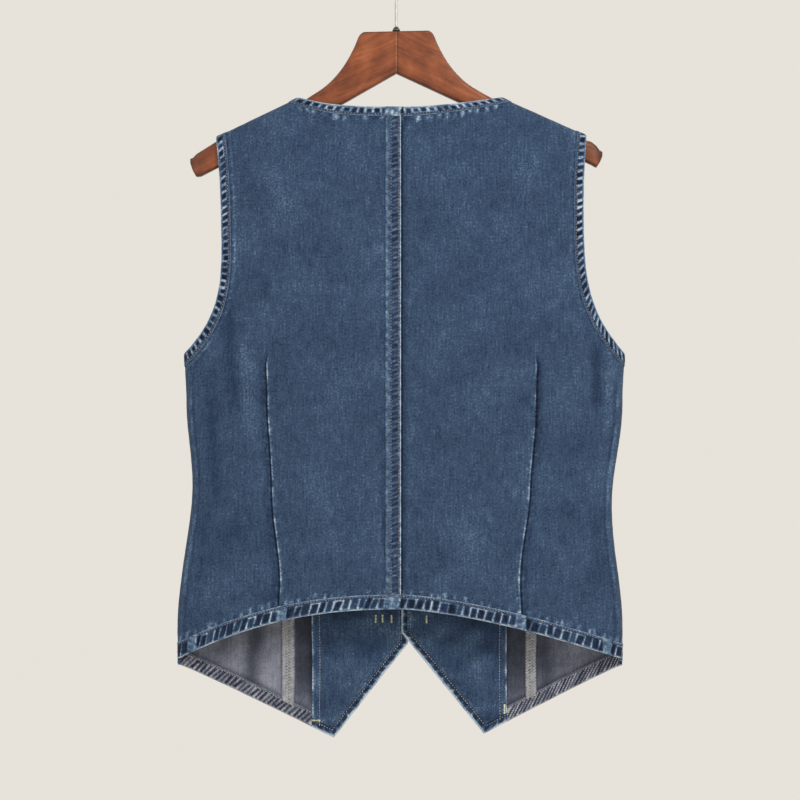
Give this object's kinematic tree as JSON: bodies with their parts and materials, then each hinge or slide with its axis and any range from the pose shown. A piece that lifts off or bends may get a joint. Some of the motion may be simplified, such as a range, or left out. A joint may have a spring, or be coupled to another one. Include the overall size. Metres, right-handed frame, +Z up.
{
  "type": "denim vest on a wooden hanger",
  "caption": "Sleeveless denim waistcoat with V neck and pointed fronts, hung flat and open on a shaped wooden hanger with a thin steel hook.",
  "frame": {"origin": "inside top of the hanger's hook, where a rail or nail carries it", "axes": "+Z up, the back of the vest faces -Y and its fronts +Y, the wearer's left is at -X"},
  "size_m": [0.4831, 0.059, 0.8349],
  "materials": {
    "denim": "matt blue-grey twill",
    "turned_denim": "stitched denim edge, slightly worn",
    "denim_reverse": "pale wrong side of denim",
    "hanger_wood": "red-brown, satin varnish",
    "hook_steel": "bright",
    "button_brass": "antique, satin"
  },
  "bodies": {
    "root": {"back_left": "denim", "back_right": "denim", "front_left": "denim", "front_right": "denim", "facing_left": "denim", "facing_right": "denim", "back_neck_band": "turned_denim", "back_hem": "turned_denim", "centre_back_seam": "turned_denim", "front_edge_left": "turned_denim", "front_edge_right": "turned_denim", "front_hem_left": "turned_denim", "front_hem_right": "turned_denim", "armhole_band_left": "turned_denim", "armhole_band_right": "turned_denim", "front_dart_left": "denim_reverse", "front_dart_right": "denim_reverse", "hanger_arm_left": "hanger_wood", "hanger_arm_right": "hanger_wood", "hanger_hook": "hook_steel", "hook_ferrule": "hook_steel", "button_1": "button_brass", "button_2": "button_brass", "button_3": "button_brass", "button_4": "button_brass", "button_5": "button_brass"}
  },
  "joints": []
}
